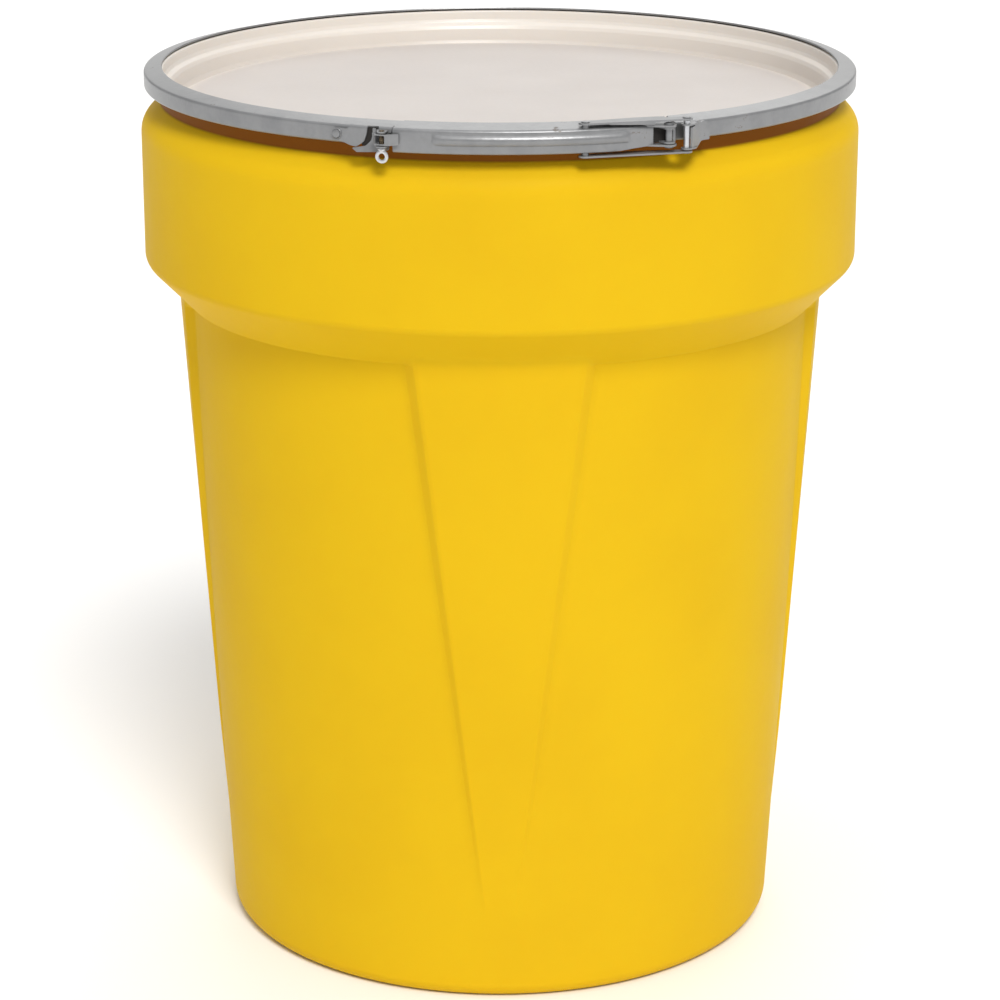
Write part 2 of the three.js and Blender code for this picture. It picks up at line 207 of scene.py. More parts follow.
def rounded(points, radii, steps=7):
    """An outline through the points, each corner with a radius replaced by an arc that is
    tangent to both of its sides, at most 0.45 of the way along the shorter one."""
    points = np.asarray(points, float)
    made = [points[:1]]
    for before, corner, after, radius in zip(points, points[1:], points[2:], radii[1:]):
        a, b = before - corner, after - corner
        reach_a, reach_b = np.linalg.norm(a), np.linalg.norm(b)
        a, b = a / reach_a, b / reach_b
        half = math.acos(np.clip(a @ b, -1, 1)) / 2
        if radius <= 0 or half > math.pi / 2 - 0.01:
            made.append(corner[None])
            continue
        run = min(radius / math.tan(half), 0.45 * min(reach_a, reach_b))
        turn = np.linspace(-1, 1, steps)[:, None] * (math.pi / 2 - half)
        across = (b - a) / np.linalg.norm(b - a)
        inwards = (a + b) / np.linalg.norm(a + b)
        true_radius = run * math.tan(half)
        centre = corner + inwards * true_radius / math.sin(half)
        made.append(centre + true_radius * (np.sin(turn) * across - np.cos(turn) * inwards))
    made.append(points[-1:])
    return np.concatenate(made)


def divided(outline, longest):
    """The outline with points added so that no side is longer than the given length."""
    sides = np.linalg.norm(np.diff(outline, axis=0), axis=1)
    counts = np.maximum(1, np.ceil(sides / longest)).astype(int)
    shares = np.concatenate([i + np.arange(n) / n for i, n in enumerate(counts)])
    shares = np.append(shares, len(sides))
    index = np.arange(len(outline))
    return np.stack([np.interp(shares, index, outline[:, k]) for k in (0, 1)], 1)


def placed(name, material, mesh_data, sharp=35):
    """A mesh object from (points, faces), smooth but for edges sharper than an angle in
    degrees, with its material."""
    points, faces = mesh_data
    mesh = bpy.data.meshes.new(name)
    mesh.from_pydata(np.asarray(points, float).tolist(), [], faces)
    mesh.validate()
    mesh.materials.append(material)
    mesh.shade_smooth()
    mesh.set_sharp_from_angle(angle=math.radians(sharp))
    made = bpy.data.objects.new(name, mesh)
    bpy.context.scene.collection.objects.link(made)
    return made


def turned(grid):
    """Points and faces of a closed skin from a grid of rows by columns that goes round:
    each row is a ring of points, and the first and the last shrink to one point each."""
    rows, columns = grid.shape[:2]
    points = np.concatenate([grid[0, :1], grid[1:-1].reshape(-1, 3), grid[-1, :1]])
    ring = 1 + np.arange((rows - 2) * columns).reshape(rows - 2, columns)
    onward = np.roll(ring, -1, 1)
    quads = np.stack([ring[:-1], onward[:-1], onward[1:], ring[1:]], -1).reshape(-1, 4)
    last = len(points) - 1
    foot = np.stack([np.zeros(columns, int), onward[0], ring[0]], -1)
    head = np.stack([np.full(columns, last), ring[-1], onward[-1]], -1)
    return points, quads.tolist() + foot.tolist() + head.tolist()


shoulder_radius = 20 * mm
shoulder_turn = np.radians(np.linspace(45, 0, 12))
shoulder_centre = (collar_radius - 0.4 * mm - shoulder_radius, ring_top - 50.5 * mm)
shoulder = np.stack([shoulder_centre[0] + shoulder_radius * np.cos(shoulder_turn),
                     shoulder_centre[1] + shoulder_radius * np.sin(shoulder_turn)], 1)
lower_corners = [
    (0, 0), (foot_radius, 0), (body_top_radius, body_top),
    (collar_radius - 0.5 * mm, ring_top - 149.5 * mm), shoulder[-1],
]
upper_corners = [
    shoulder[0], (264.2 * mm, ring_top - 27.0 * mm), (263.4 * mm, ring_top - 18 * mm),
    (264.3 * mm, ring_top - 15.9 * mm), (272.5 * mm, ring_top - 13.7 * mm),
    (272.5 * mm, ring_top - 10.3 * mm), (269 * mm, ring_top - 10.3 * mm),
]
lower_radii = np.array([0, 13, 1.2, 10, 0]) * mm
upper_radii = np.array([0, 2, 0.5, 1, 1.2, 2.2, 0]) * mm
inner_corners = [
    (269 * mm, ring_top - 10.3 * mm), (265.6 * mm, ring_top - 10.3 * mm),
    (264.6 * mm, ring_top - 12.6 * mm), (260.6 * mm, ring_top - 16.5 * mm),
    (259.4 * mm, ring_top - 19 * mm), (259.4 * mm, ring_top - 29.4 * mm),
    (274.4 * mm, ring_top - 44 * mm), (274.4 * mm, ring_top - 147 * mm),
    (body_top_radius - shell_wall, body_top - 2 * mm),
    (foot_radius - shell_wall, shell_wall), (0, shell_wall),
]
inner_radii = np.array([0, 1.5, 1, 2, 1, 2, 12, 6, 4, 16, 0]) * mm
outer_line = divided(np.concatenate([
    rounded(lower_corners, lower_radii, 11), shoulder[-2:0:-1],
    rounded(upper_corners, upper_radii, 7),
]), 7 * mm)
inner_line = divided(rounded(inner_corners, inner_radii, 7), 14 * mm)


def panel_edges(z):
    """Half-angles of a raised panel's flat top and of the foot of its slanting side, and
    its face's radius, at a height. Both half-widths shrink evenly from the chamfer down to
    the run-out, where the face, which leans in more than the wall, fades into it."""
    run_out, fade_run = 70 * mm, 80 * mm
    share = np.clip((z - run_out) / (body_top - run_out), 0, 1)
    fade = np.clip((z - run_out) / fade_run, 0, 1)
    radius = foot_radius + (body_top_radius - foot_radius) * np.clip(z / body_top, 0, 1)
    face = foot_radius + (face_top_radius - foot_radius) * z / face_top
    top_half = (10.5 + 50.7 * share) * mm
    foot_half = (12.5 + 57.5 * share) * mm
    return (np.arcsin(top_half / radius), np.arcsin(foot_half / radius),
            radius + (face - radius) * fade ** 0.5)


def shell_skin(line, raised):
    """The shell's grid over one outline. Columns crowd to a panel's edges: a share of each
    quarter turn is its flat top, a share its slanting side, and the rest is plain wall.
    A raised column's radius is the greater of the outline's and the face's, with the
    crossing at the chamfer rounded: half of their sum plus the root of the sum of the
    squares of their difference and of a small length."""
    flat, side, plain = 16, 7, 22
    panel_foot, panel_head = 40 * mm, face_top + 25 * mm
    top_share = np.linspace(0, 1, flat + 1)
    side_share = np.linspace(0, 1, side + 1)[1:]
    plain_share = np.linspace(0, 1, plain + 1)[1:]
    r, z = line[:, :1], line[:, 1:]
    top_edge, foot_edge, face = panel_edges(z)
    halfway = math.pi / 4
    half = np.concatenate([
        top_edge * top_share,
        top_edge + (foot_edge - top_edge) * side_share,
        foot_edge + (halfway - foot_edge) * plain_share,
    ], 1)
    weight = np.concatenate([np.ones(flat + 1), 1 - side_share, np.zeros(plain)])
    angle = np.concatenate([half, 2 * halfway - half[:, -2:0:-1]], 1)
    weight = np.concatenate([weight, weight[-2:0:-1]])
    angle = np.concatenate([angle + halfway * 2 * k for k in range(4)], 1)
    weight = np.tile(weight, 4)
    blend = 1.0 * mm * np.clip(z / body_top - 0.5, 0, 0.5)
    lifted = (r + face + np.sqrt((r - face) ** 2 + blend ** 2)) / 2
    lifted = np.where((z > panel_foot) & (z < panel_head), lifted, r)
    radius = r + (lifted - r) * weight * raised
    return np.stack([radius * np.sin(angle), -radius * np.cos(angle),
                     z + np.zeros_like(angle)], -1)


yellow, yellow_shader, place = finish(
    "yellow_polyethylene", Subsurface_Weight=0.12, Subsurface_Scale=0.012, IOR=1.5,
    Specular_IOR_Level=0.03,
)
yellow_shader.inputs["Subsurface Radius"].default_value = (1.0, 0.55, 0.12)
cloud = grain(place, 7, 3)
speck = grain(place, 420, 2)
plain_yellow = cloud.fade(0.35, 0.7).tint((0.745, 0.467, 0.010, 1), (0.720, 0.443, 0.010, 1))
# Painted shade: the neck under the ring, where the ring's shadow falls, is painted dark brown.
neck_height = place.node("ShaderNodeSeparateXYZ", None, {"Vector": place}, "Z")
neck_radius = place.from_axis()
above_shoulder = neck_height.fade(ring_top - 28.5 * mm, ring_top - 26.5 * mm)
below_bead = 1 - neck_height.fade(ring_top - 16.5 * mm, ring_top - 15 * mm)
outer_skin = neck_radius.fade(0.2612, 0.2630) * (1 - neck_radius.fade(0.2645, 0.2690))
neck_painted_shade = above_shoulder * below_bead * outer_skin
feed(yellow_shader, "Base Color", neck_painted_shade.tint(plain_yellow, (0.25, 0.085, 0.010, 1)))
feed(yellow_shader, "Roughness", 0.40 + cloud * 0.10 + speck * 0.08)
ripple = grain(place, 26, 2)
bumped(yellow_shader, ripple * 0.8 + grain(place, 190, 3) * 0.10 + speck * 0.06, 0.9 * mm)

shell = placed("drum_body", yellow,
               turned(np.concatenate([shell_skin(outer_line, 1), shell_skin(inner_line, 0)[1:]])), 50)
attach(shell, "drum")
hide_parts("drum_shell")

# ---------------------------------------------------------------------------------------
# Lid. A dished plug of natural, milky polyethylene: its rim caps the bead, its wall drops
# in two steps with a soft ledge between, and a gutter runs round the flat panel. It is an
# outline turned round the axis, with the panel a little wavy as such a wide flat cools.
lid_corners = [
    (0, -31.5), (245.5, -31.5), (247.5, -34.2), (252.5, -34.2), (255.6, -32), (257.4, -26),
    (259.2, -17), (261, -14.2), (263.6, -12), (264.2, -9), (264.3, -7), (271.4, -7),
    (271.6, -9.6), (273.6, -9.6), (273.6, -5.8), (272.4, -4.7), (263.2, -2.5), (261.7, -3.4),
    (261.0, -9.5), (259.9, -12.2), (257.0, -14.6), (255.6, -17.5), (254.0, -26.5),
    (252.2, -30.8), (249.6, -30.9), (248.3, -28.2), (245.6, -28), (0, -28),
]
lid_radii = np.array([0, 2, 2, 2, 2, 3, 3, 2, 2, 1, 1, 1, 0.8, 0.8, 2, 2, 1.2, 1.2,
                      3, 2, 3, 3, 3, 2.2, 1.6, 1.2, 2, 0]) * mm
lid_line = rounded(np.array(lid_corners) * mm + np.array([0, ring_top]), lid_radii, 7)
lid_line = divided(lid_line, 9 * mm)
lid_turns = 288


def round_axis(line, turns):
    """An outline of (radius, height) carried round the axis in equal steps, from -Y."""
    angle = np.arange(turns) / turns * 2 * math.pi
    r, z = line[:, :1], line[:, 1:]
    return np.stack([r * np.sin(angle), -r * np.cos(angle), z + 0 * angle], -1)


lid_grid = round_axis(lid_line, lid_turns)
lid_radius = np.hypot(lid_grid[..., 0], lid_grid[..., 1])
lid_angle = np.arctan2(lid_grid[..., 0], -lid_grid[..., 1])
wave = np.sin(2 * lid_angle + 0.7) * 0.5 + np.sin(3 * lid_angle + 2.1) * 0.3
wave_height, panel_edge, wall_foot = 0.5 * mm, 245 * mm, 256 * mm
wave *= (lid_radius / panel_edge) ** 2 * (lid_radius < wall_foot)
lid_grid[..., 2] += wave_height * wave

natural, natural_shader, place = finish(
    "natural_polyethylene", Subsurface_Weight=0.25, Subsurface_Scale=0.01, IOR=1.5,
)
natural_shader.inputs["Subsurface Radius"].default_value = (1.0, 0.8, 0.6)
# Painted light: the wall round the panel gets a much lighter colour than the panel, standing in for
# the light it catches; the same mask makes it glossier.
wall_painted_light = place.from_axis().fade(0.238, 0.262)
milk = grain(place, 9, 3)
speck = grain(place, 300, 2)
panel_milk = milk.fade(0.3, 0.7).tint((0.520, 0.477, 0.450, 1), (0.550, 0.506, 0.478, 1))
feed(natural_shader, "Base Color", wall_painted_light.tint(panel_milk, (0.80, 0.73, 0.66, 1)))
feed(natural_shader, "Roughness", 0.42 + speck * 0.12 - wall_painted_light * 0.16)
bumped(natural_shader, grain(place, 14, 2) * 0.9 + speck * 0.05 + grain(place, 110, 3) * 0.1,
       0.9 * mm)
lid = placed("lid_plug", natural, turned(lid_grid), 50)
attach(lid, "lid")
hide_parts("lid")

# ---------------------------------------------------------------------------------------
# Lid gasket. A black foamed rubber ring pressed into the lid's rim channel. The frame's
# own ring is the right shape, so it only gets its rubber.
rubber, rubber_shader, place = finish("seal_foam", IOR=1.45)
cells = grain(place, 900, 2)
feed(rubber_shader, "Base Color", cells.tint((0.018, 0.018, 0.018, 1), (0.05, 0.05, 0.048, 1)))
feed(rubber_shader, "Roughness", 0.75 + cells * 0.2)
bumped(rubber_shader, cells, 0.3 * mm)
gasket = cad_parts["lid_gasket"]
gasket.data.materials.clear()
gasket.data.materials.append(rubber)

# ---------------------------------------------------------------------------------------
# Closure ring. One roll-formed channel of grey enamelled steel, split at the front right.
# It is made in stretches: each middle one crosses one of the frame's hinges, and the two
# stiff end stretches carry the fittings.
grey, grey_shader, place = finish("grey_enamel", IOR=1.52)
flake = grain(place, 1500, 2)
wear = grain(place, 60, 4, 0.65)
chip = (wear + grain(place, 700, 2) * 0.35).fade(0.86, 0.92)
enamel = wear.fade(0.3, 0.7).tint((0.225, 0.229, 0.236, 1), (0.268, 0.271, 0.278, 1))
feed(grey_shader, "Base Color", (chip * 0.7).tint(enamel, (0.20, 0.17, 0.15, 1)))
feed(grey_shader, "Roughness", 0.26 + wear * 0.12 + chip * 0.2)
feed(grey_shader, "Metallic", 0.35 + chip * 0.3)
bumped(grey_shader, grain(place, 260, 2) * 0.35 + flake * 0.05 - chip * 0.3, 0.35 * mm)


def channel_outline():
    """The channel's section as a closed loop of (radius, height): a web and two lips that
    slope back, of sheet 1.5 mm thick, with its bends and edges rounded."""
    outside = rounded([(264.5, -18), (276.5, -15.2), (276.5, -2.95), (262.7, 0)],
                      [0, 2.2, 2.2, 0], 7)
    inside = rounded([(262.7, -1.5), (275, -4.25), (275, -13.9), (264.5, -16.4)],
                     [0, 0.8, 0.8, 0], 4)
    hem = [(262.25, -0.75)]
    foot = [(264.1, -17.2)]
    loop = np.concatenate([outside, hem, inside, foot])
    return loop * mm + np.array([0, ring_top])


def band(outline, start, end, step=1.0):
    """Points and faces of a closed loop of (radius, height) carried round the axis between
    two angles in degrees, with both ends closed."""
    count = max(2, int(round((end - start) / step)) + 1)
    angle = np.radians(np.linspace(start, end, count))[:, None]
    r, z = outline[:, 0], outline[:, 1]
    points = np.stack([r * np.sin(angle), -r * np.cos(angle), z + 0 * angle], -1)
    loop = len(outline)
    index = np.arange(count * loop).reshape(count, loop)
    ahead = np.roll(index, -1, 1)
    quads = np.stack([index[:-1], index[1:], ahead[1:], ahead[:-1]], -1).reshape(-1, 4)
    caps = [index[0].tolist(), index[-1][::-1].tolist()]
    return points.reshape(-1, 3), quads.tolist() + caps


def at_angle(radius, degrees):
    """The point at a radius, at an angle from -Y towards +X, level with the ring's top."""
    turn = math.radians(degrees)
    return (radius * math.sin(turn), -radius * math.cos(turn), ring_top)


ring_outer = 276.5 * mm
split_at, half_arc, end_gap = 26.6, 36.0, 0.25
bend_half = 26
section_loop = channel_outline()

# Each stretch's name, its two ends in half arcs after the split, its bodies and its node.
stretches = [
    ("ring_end_right", 0, 1, ("ring_right_end",), "ring_arc_right_front"),
    ("ring_flex_right_front", 1, 3, ("ring_right_end", "ring_right_mid"), "ring_arc_right_back"),
    ("ring_flex_right_back", 3, 5, ("ring_right_mid", "ring_back"), "ring_arc_back"),
    ("ring_flex_left_back", 5, 7, ("ring_back", "ring_left_mid"), "ring_arc_left_back"),
    ("ring_flex_left_front", 7, 9, ("ring_left_mid", "ring_left_end"), None),
    ("ring_end_left", 9, 10, ("ring_left_end",), "ring_arc_left_front"),
]
for name, first, last, bodies, node in stretches:
    start = split_at + first * half_arc + (end_gap if first == 0 else 0)
    end = split_at + last * half_arc - (end_gap if last == 10 else 0)
    stretch = placed(name, grey, band(section_loop, start, end), 50)
    if len(bodies) > 1:
        hinge = (start + end) / 2
        at_angle(ring_outer, hinge - bend_half)
        at_angle(ring_outer, hinge + bend_half)
        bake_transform(stretch)
    else:
        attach(stretch, *bodies)
    if node:
        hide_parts(node)

# ---------------------------------------------------------------------------------------
# Lever. A pressed steel channel that wraps the closed ring, grey enamelled like it: two
# flanges, a long raised bead down its face, a tongue at the free end and two ears at the
# other, which turn on the lever pin. It is cut as a flat pattern and bent to its section.
lever_pivot = (283.4, 24.9)
link_pivot = (277.0, 12.5)
lever_face = 280.8
per_degree = lever_face * math.pi / 180
pin_hole = 2.8


def closed_outline(corners, radii, scale=(1, 1)):
    """A closed outline through the corners, each rounded to its own radius or to one."""
    corners = np.array(corners, float) * scale
    radii = np.broadcast_to(radii, len(corners))
    ring = np.concatenate([corners[-1:], corners, corners[:1]])
    return rounded(ring, [0, *radii, 0], 6)[1:-1]


def circle(centre, radius, sides=28):
    """The points of a circle."""
    turn = np.arange(sides) / sides * 2 * math.pi
    return np.array(centre) + radius * np.stack([np.cos(turn), np.sin(turn)], 1)


def flat_point(radius, degrees):
    """The point at a radius and an angle from -Y towards +X, in millimetres in plan."""
    turn = math.radians(degrees)
    return np.array([radius * math.sin(turn), -radius * math.cos(turn)])


def around(*circles):
    """The convex outline round circles, each given as (centre, radius)."""
    cloud = np.concatenate([circle(centre, radius) for centre, radius in circles])
    return cloud[convex_hull_2d(cloud.tolist())]


def within(points, rims):
    """Which points lie inside an odd number of the closed rims."""
    inside = np.zeros(len(points), bool)
    for rim in rims:
        for (ax, ay), (bx, by) in zip(rim, np.roll(rim, -1, 0)):
            if ay != by:
                crosses = (ay > points[:, 1]) != (by > points[:, 1])
                at = ax + (bx - ax) * (points[:, 1] - ay) / (by - ay)
                inside ^= crosses & (points[:, 0] < at)
    return inside


def cut_pattern(outlines, spacing):
    """Points and triangles of a flat shape, inside the first outline and outside the rest.
    Sides are divided to the spacing, and a grid of that spacing fills the inside."""
    rims = []
    for outline in outlines:
        loop = divided(np.concatenate([outline, outline[:1]]), spacing)[:-1]
        rims.append(loop)
    edge = np.concatenate(rims)
    low, high = edge.min(0), edge.max(0)
    axes = [np.arange(a + spacing / 2, b, spacing) for a, b in zip(low, high)]
    grid = np.stack(np.meshgrid(*axes), -1).reshape(-1, 2)
    gap = np.full(len(grid), np.inf)
    for point in edge:
        gap = np.minimum(gap, np.hypot(*(grid - point).T))
    grid = grid[within(grid, rims) & (gap > 0.6 * spacing)]
    edges, start = [], 0
    for rim in rims:
        n = len(rim)
        edges += [(start + i, start + (i + 1) % n) for i in range(n)]
        start += n
    made = delaunay_2d_cdt(np.concatenate([edge, grid]).tolist(), edges, [], 2, 1e-5)
    points, faces = np.array([tuple(v) for v in made[0]]), np.array(made[2])
    return points, faces[within(points[faces].mean(1), rims)].tolist()


def bent(section, level):
    """Places (degrees-as-length, s, out) on a section of (radius, height) carried round
    the axis. s runs along the section and equals the height at the given level; out is
    measured from the section to its left."""
    section = np.asarray(section, float)
    steps = np.linalg.norm(np.diff(section, axis=0), axis=1)
    run = np.concatenate([[0], np.cumsum(steps)])
    run += level - np.interp(level, section[:, 1], run)
    side = np.gradient(section, run, axis=0)
    side /= np.linalg.norm(side, axis=1)[:, None]

    def place(u, s, out):
        r, z, dr, dz = (np.interp(s, run, c) for c in (*section.T, *side.T))
        turn = u / per_degree * math.pi / 180
        r, z = r + out * dz, z - out * dr
        return np.stack([r * np.sin(turn), -r * np.cos(turn), z], -1)

    return place


def folded(path):
    """Places (s, height, out) on a path in plan, s from its start, out to its right."""
    path = np.asarray(path, float)
    run = np.concatenate([[0], np.cumsum(np.linalg.norm(np.diff(path, axis=0), axis=1))])
    side = np.gradient(path, run, axis=0)
    side /= np.linalg.norm(side, axis=1)[:, None]

    def place(s, z, out):
        x, y, dx, dy = (np.interp(s, run, c) for c in (*path.T, *side.T))
        return np.stack([x + out * dy, y - out * dx, z + 0 * x], -1)

    return place


def level_plate(x, y, out):
    """Places a pattern drawn in plan, out being the height."""
    return np.stack([x, y, out + 0 * x], -1)


def sheet(pattern, place, low, high, raised=None):
    """A sheet cut to a flat pattern: both of its skins, from out = low to out = high plus
    what raised(u, v) adds, and the walls between their rims. In millimetres."""
    flat, triangles = pattern
    u, v = flat.T
    lift = raised(u, v) if raised else 0 * u
    points = np.concatenate([place(u, v, high + lift), place(u, v, low + lift)])
    n = len(flat)
    centre = points[np.array(triangles[0])].mean(0)
    a, b, c = points[np.array(triangles[0][:3])]
    below = points[np.array(triangles[0]) + n].mean(0)
    if np.cross(b - a, c - a) @ (centre - below) < 0:
        triangles = [face[::-1] for face in triangles]
    sides = {}
    for face in triangles:
        for a, b in zip(face, face[1:] + face[:1]):
            if (b, a) in sides:
                del sides[(b, a)]
            else:
                sides[(a, b)] = None
    walls = [[b, a, a + n, b + n] for a, b in sides]
    return points, triangles + [[i + n for i in face[::-1]] for face in triangles] + walls


def joined(*meshes):
    """One mesh of several, moved from millimetres over the ring's top to metres."""
    points, faces, start = [], [], 0
    for some, some_faces in meshes:
        points.append(some)
        faces += [[i + start for i in face] for face in some_faces]
        start += len(some)
    return np.concatenate(points) * mm + np.array([0, 0, ring_top]), faces


def eased(piece, width):
    """Rounds a sheet piece's cut edges."""
    bevel = piece.modifiers.new("eased_edges", "BEVEL")
    bevel.limit_method, bevel.angle_limit = "ANGLE", math.radians(50)
    bevel.width, bevel.segments, bevel.harden_normals = width * mm, 2, True
    return piece


degrees_to_mm = (per_degree, 1)
lever_section = rounded([(267.4, -19.4), (lever_face, -19.4), (lever_face, -2.3), (265.6, 1.05)],
                        [0, 1.6, 2.2, 0], 9)
lever_place = bent(lever_section, -10)
lever_outline = closed_outline([
    (-15.6, -5.6), (-15.6, 0.5), (-14.9, 2.5), (-14.7, 12.6), (21.4, 12.6), (22.65, 2),
    (22.65, -16.4), (19.5, -17.6), (15.5, -20.3), (14.2, -31.5), (-14.9, -31.5),
    (-15.6, -26), (-15.6, -13.4), (-18.5, -13.4), (-18.5, -6.3), (-15.9, -6.3),
], [0.2, 0.8, 1.5, 1, 3, 1, 0.3, 6, 3, 1, 1, 2, 0.2, 1, 1, 0.2], degrees_to_mm)


def bead(u, s):
    """The long bead's rise: a rounded ridge along the face, its ends rounded off too."""
    start, end, middle, half, rise, run = -9.8, 19.1, -9.6, 3.7, 2.05, 7.0
    across = np.clip(1 - ((s - middle) / half) ** 2, 0, 1) ** 0.8
    inward = np.minimum(u - start * per_degree, end * per_degree - u) / run
    inward = np.clip(inward, 0, 1)
    return rise * across * (inward * (2 - inward)) ** 0.5


def ear(pivot, boss, feet, hole, low, high):
    """A flat ear between two heights: the outline round its boss at the pivot and round
    its feet, each (radius, degrees, corner radius), less the pivot's hole."""
    corners = [(flat_point(radius, degrees), corner) for radius, degrees, corner in feet]
    outline = around((flat_point(*pivot), boss), *corners)
    rims = [outline, circle(flat_point(*pivot), hole)]
    return sheet(cut_pattern(rims, 1.5), level_plate, low, high)


lever_feet = [(277.6, 21.4, 1.6)]
lever = placed("lever_pressing", grey, joined(
    sheet(cut_pattern([lever_outline], 1.1), lever_place, -1.3, 0, bead),
    ear(lever_pivot, 5.5, lever_feet, pin_hole, -3.2, -1.8),
    ear(lever_pivot, 5.5, lever_feet, pin_hole, -17, -15.7),
))
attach(lever, "lever")
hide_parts("lever")

# ---------------------------------------------------------------------------------------
# Lever pin. A turned steel pin through the lever's ears and the bracket's, with a domed
# head above and a peened end below, painted over with the rest.


def post(centre, profile, sides=32):
    """Points and faces of a turned pin standing in plan at a centre: a profile of
    (radius, height) from its foot's middle to its head's."""
    angle = np.arange(sides) / sides * 2 * math.pi
    profile = np.asarray(profile, float)
    r, z = profile[:, :1], profile[:, 1:]
    grid = np.stack([centre[0] + r * np.sin(angle), centre[1] - r * np.cos(angle),
                     z + 0 * angle], -1)
    return turned(grid)


def domed(radius, base, rise, steps=6):
    """The profile of a domed head, from its rim at the base to its middle."""
    turn = np.linspace(0.25, math.pi / 2, steps)
    low = math.sin(0.25)
    height = base + rise * (0.3 + 0.7 * (np.sin(turn) - low) / (1 - low))
    dome = np.stack([radius * np.cos(turn) / math.cos(0.25), height], 1)
    return [(radius * 0.97, base), *dome.tolist()]


lever_pin = placed("lever_pin_turned", grey, joined(post(
    flat_point(*lever_pivot),
    [(0, -18.5), (2.8, -18.5), (3.5, -18.0), (3.5, -17.3), (2.4, -17.3), (2.4, -1.6),
     *domed(3.8, -1.6, 1.5)],
)))
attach(lever_pin, "lever")
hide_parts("lever_pin")

# ---------------------------------------------------------------------------------------
# Lever bracket. A small folded plate spot-welded to the ring's left end: a back against
# the ring, two ears round the lever pin, and a folded end that stands out beside it. The
# recess between the ears is covered by a thin near-black sheet: painted shade.
bracket_place = bent([(278.6, -25), (278.6, 5)], -10)
bracket_back = closed_outline([(21.0, -15.2), (26.3, -15.2), (26.3, -3.6), (21.0, -3.6)],
                              0.6, degrees_to_mm)
bracket_feet = [(278.2, 23.9, 0.8), (278.2, 25.6, 0.8)]
fold = np.array([flat_point(r, a) for r, a in
                 ((277.2, 25.8), (280.9, 25.8), (280.9, 26.25), (277.2, 26.25))])
# Painted shade: a near-black, mottled material for thin sheets laid where gaps between parts lie in
# shadow.
painted_shade, painted_shade_shader, place = finish("gap_painted_shade", IOR=1.4)
shade_mottle = grain(place, 400, 3)
feed(painted_shade_shader, "Base Color", shade_mottle.tint((0.008, 0.007, 0.006, 1), (0.035, 0.03, 0.026, 1)))
feed(painted_shade_shader, "Roughness", 0.6 + shade_mottle * 0.3)
# Painted shade: a thin dark sheet on the bracket's back between the ears.
recess = closed_outline([(22.0, -15), (25.9, -15), (25.9, -3.8), (22.0, -3.8)], 0.4, degrees_to_mm)
bracket_painted_shade = placed("lever_bracket_painted_shade", painted_shade, joined(
    sheet(cut_pattern([recess], 2), bracket_place, 0.03, 0.2)))
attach(bracket_painted_shade, "ring_left_end")
lever_bracket = placed("lever_bracket_folded", grey, joined(
    sheet(cut_pattern([bracket_back], 2), bracket_place, -1.4, 0),
    sheet(cut_pattern([fold], 1.5), level_plate, -15.2, -3.6),
    ear(lever_pivot, 4.5, bracket_feet, pin_hole, -4.9, -3.6),
    ear(lever_pivot, 4.5, bracket_feet, pin_hole, -15.2, -13.9),
))
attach(eased(lever_bracket, 0.25), "ring_left_end")
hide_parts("lever_bracket")

# ---------------------------------------------------------------------------------------
# Anchor bracket. A plate welded to the ring's right end that swells out to two ears round
# the anchor pin. Its lower edge steps up away from the pin.
anchor_pivot = (285.0, 27.6)
anchor_path = divided(rounded([flat_point(288.4, 28.15), flat_point(279.2, 30.85),
                               flat_point(278.75, 33.35)], [0, 9, 0], 9), 1)
anchor_place = folded(anchor_path)
anchor_outline = closed_outline([
    (0, -20.4), (8.5, -20.1), (11.5, -19.3), (16.0, -16.8), (19.8, -16.6), (23.5, -16.6),
    (23.5, -5.6), (21.5, -3.6), (18.5, -2.6), (15.0, -3.4), (12.0, -1.3), (9.0, -1.3),
    (3.5, -4.4), (0, -4.6),
], [1, 3, 3, 3, 1, 0.8, 1.5, 1.5, 1.5, 1.5, 1, 1, 1.5, 1])
anchor_feet = [(285.4, 29.0, 0.9), (280.6, 29.9, 0.8)]
anchor_hole = 2.5
anchor_bracket = placed("anchor_bracket_pressed", grey, joined(
    sheet(cut_pattern([anchor_outline], 1.2), anchor_place, -1.5, 0),
    ear(anchor_pivot, 4.0, anchor_feet, anchor_hole, -3.3, -2.1),
    ear(anchor_pivot, 4.0, anchor_feet, anchor_hole, -20.5, -19.3),
))
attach(anchor_bracket, "ring_right_end")
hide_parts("anchor_bracket")

# ---------------------------------------------------------------------------------------
# Anchor pin. A bare zinc-plated pin that stands in the anchor bracket's ears.
zinc, zinc_shader, place = finish("bright_zinc", Metallic=0.85)
spangle = grain(place, 500, 3)
feed(zinc_shader, "Base Color", spangle.tint((0.56, 0.57, 0.60, 1), (0.70, 0.71, 0.73, 1)))
feed(zinc_shader, "Roughness", 0.26 + spangle * 0.15)
bumped(zinc_shader, spangle, 0.12 * mm)
anchor_pin = placed("anchor_pin_turned", zinc, joined(post(
    flat_point(*anchor_pivot),
    [(0, -20.9), (1.9, -20.9), (2.2, -20.6), (2.2, 0.1), (1.9, 0.4), (0, 0.4)],
)))
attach(anchor_pin, "ring_right_end")
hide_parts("anchor_pin")

# ---------------------------------------------------------------------------------------
# Links. Two flat enamelled straps, one over the ring and one under it, that join the
# lever to the anchor pin. The upper one has a corner that swells in over the ring's lip
# and a stiffening lip turned down along its outer edge.
link_ends = [flat_point(*link_pivot), flat_point(*anchor_pivot)]
link_length = np.linalg.norm(link_ends[1] - link_ends[0])
link_way = (link_ends[1] - link_ends[0]) / link_length
link_side = np.array([link_way[1], -link_way[0]])


def on_link(points):
    """Points along the link and out from its middle line, in millimetres in plan."""
    points = np.asarray(points, float)
    return link_ends[0] + points[:, :1] * link_way + points[:, 1:] * link_side


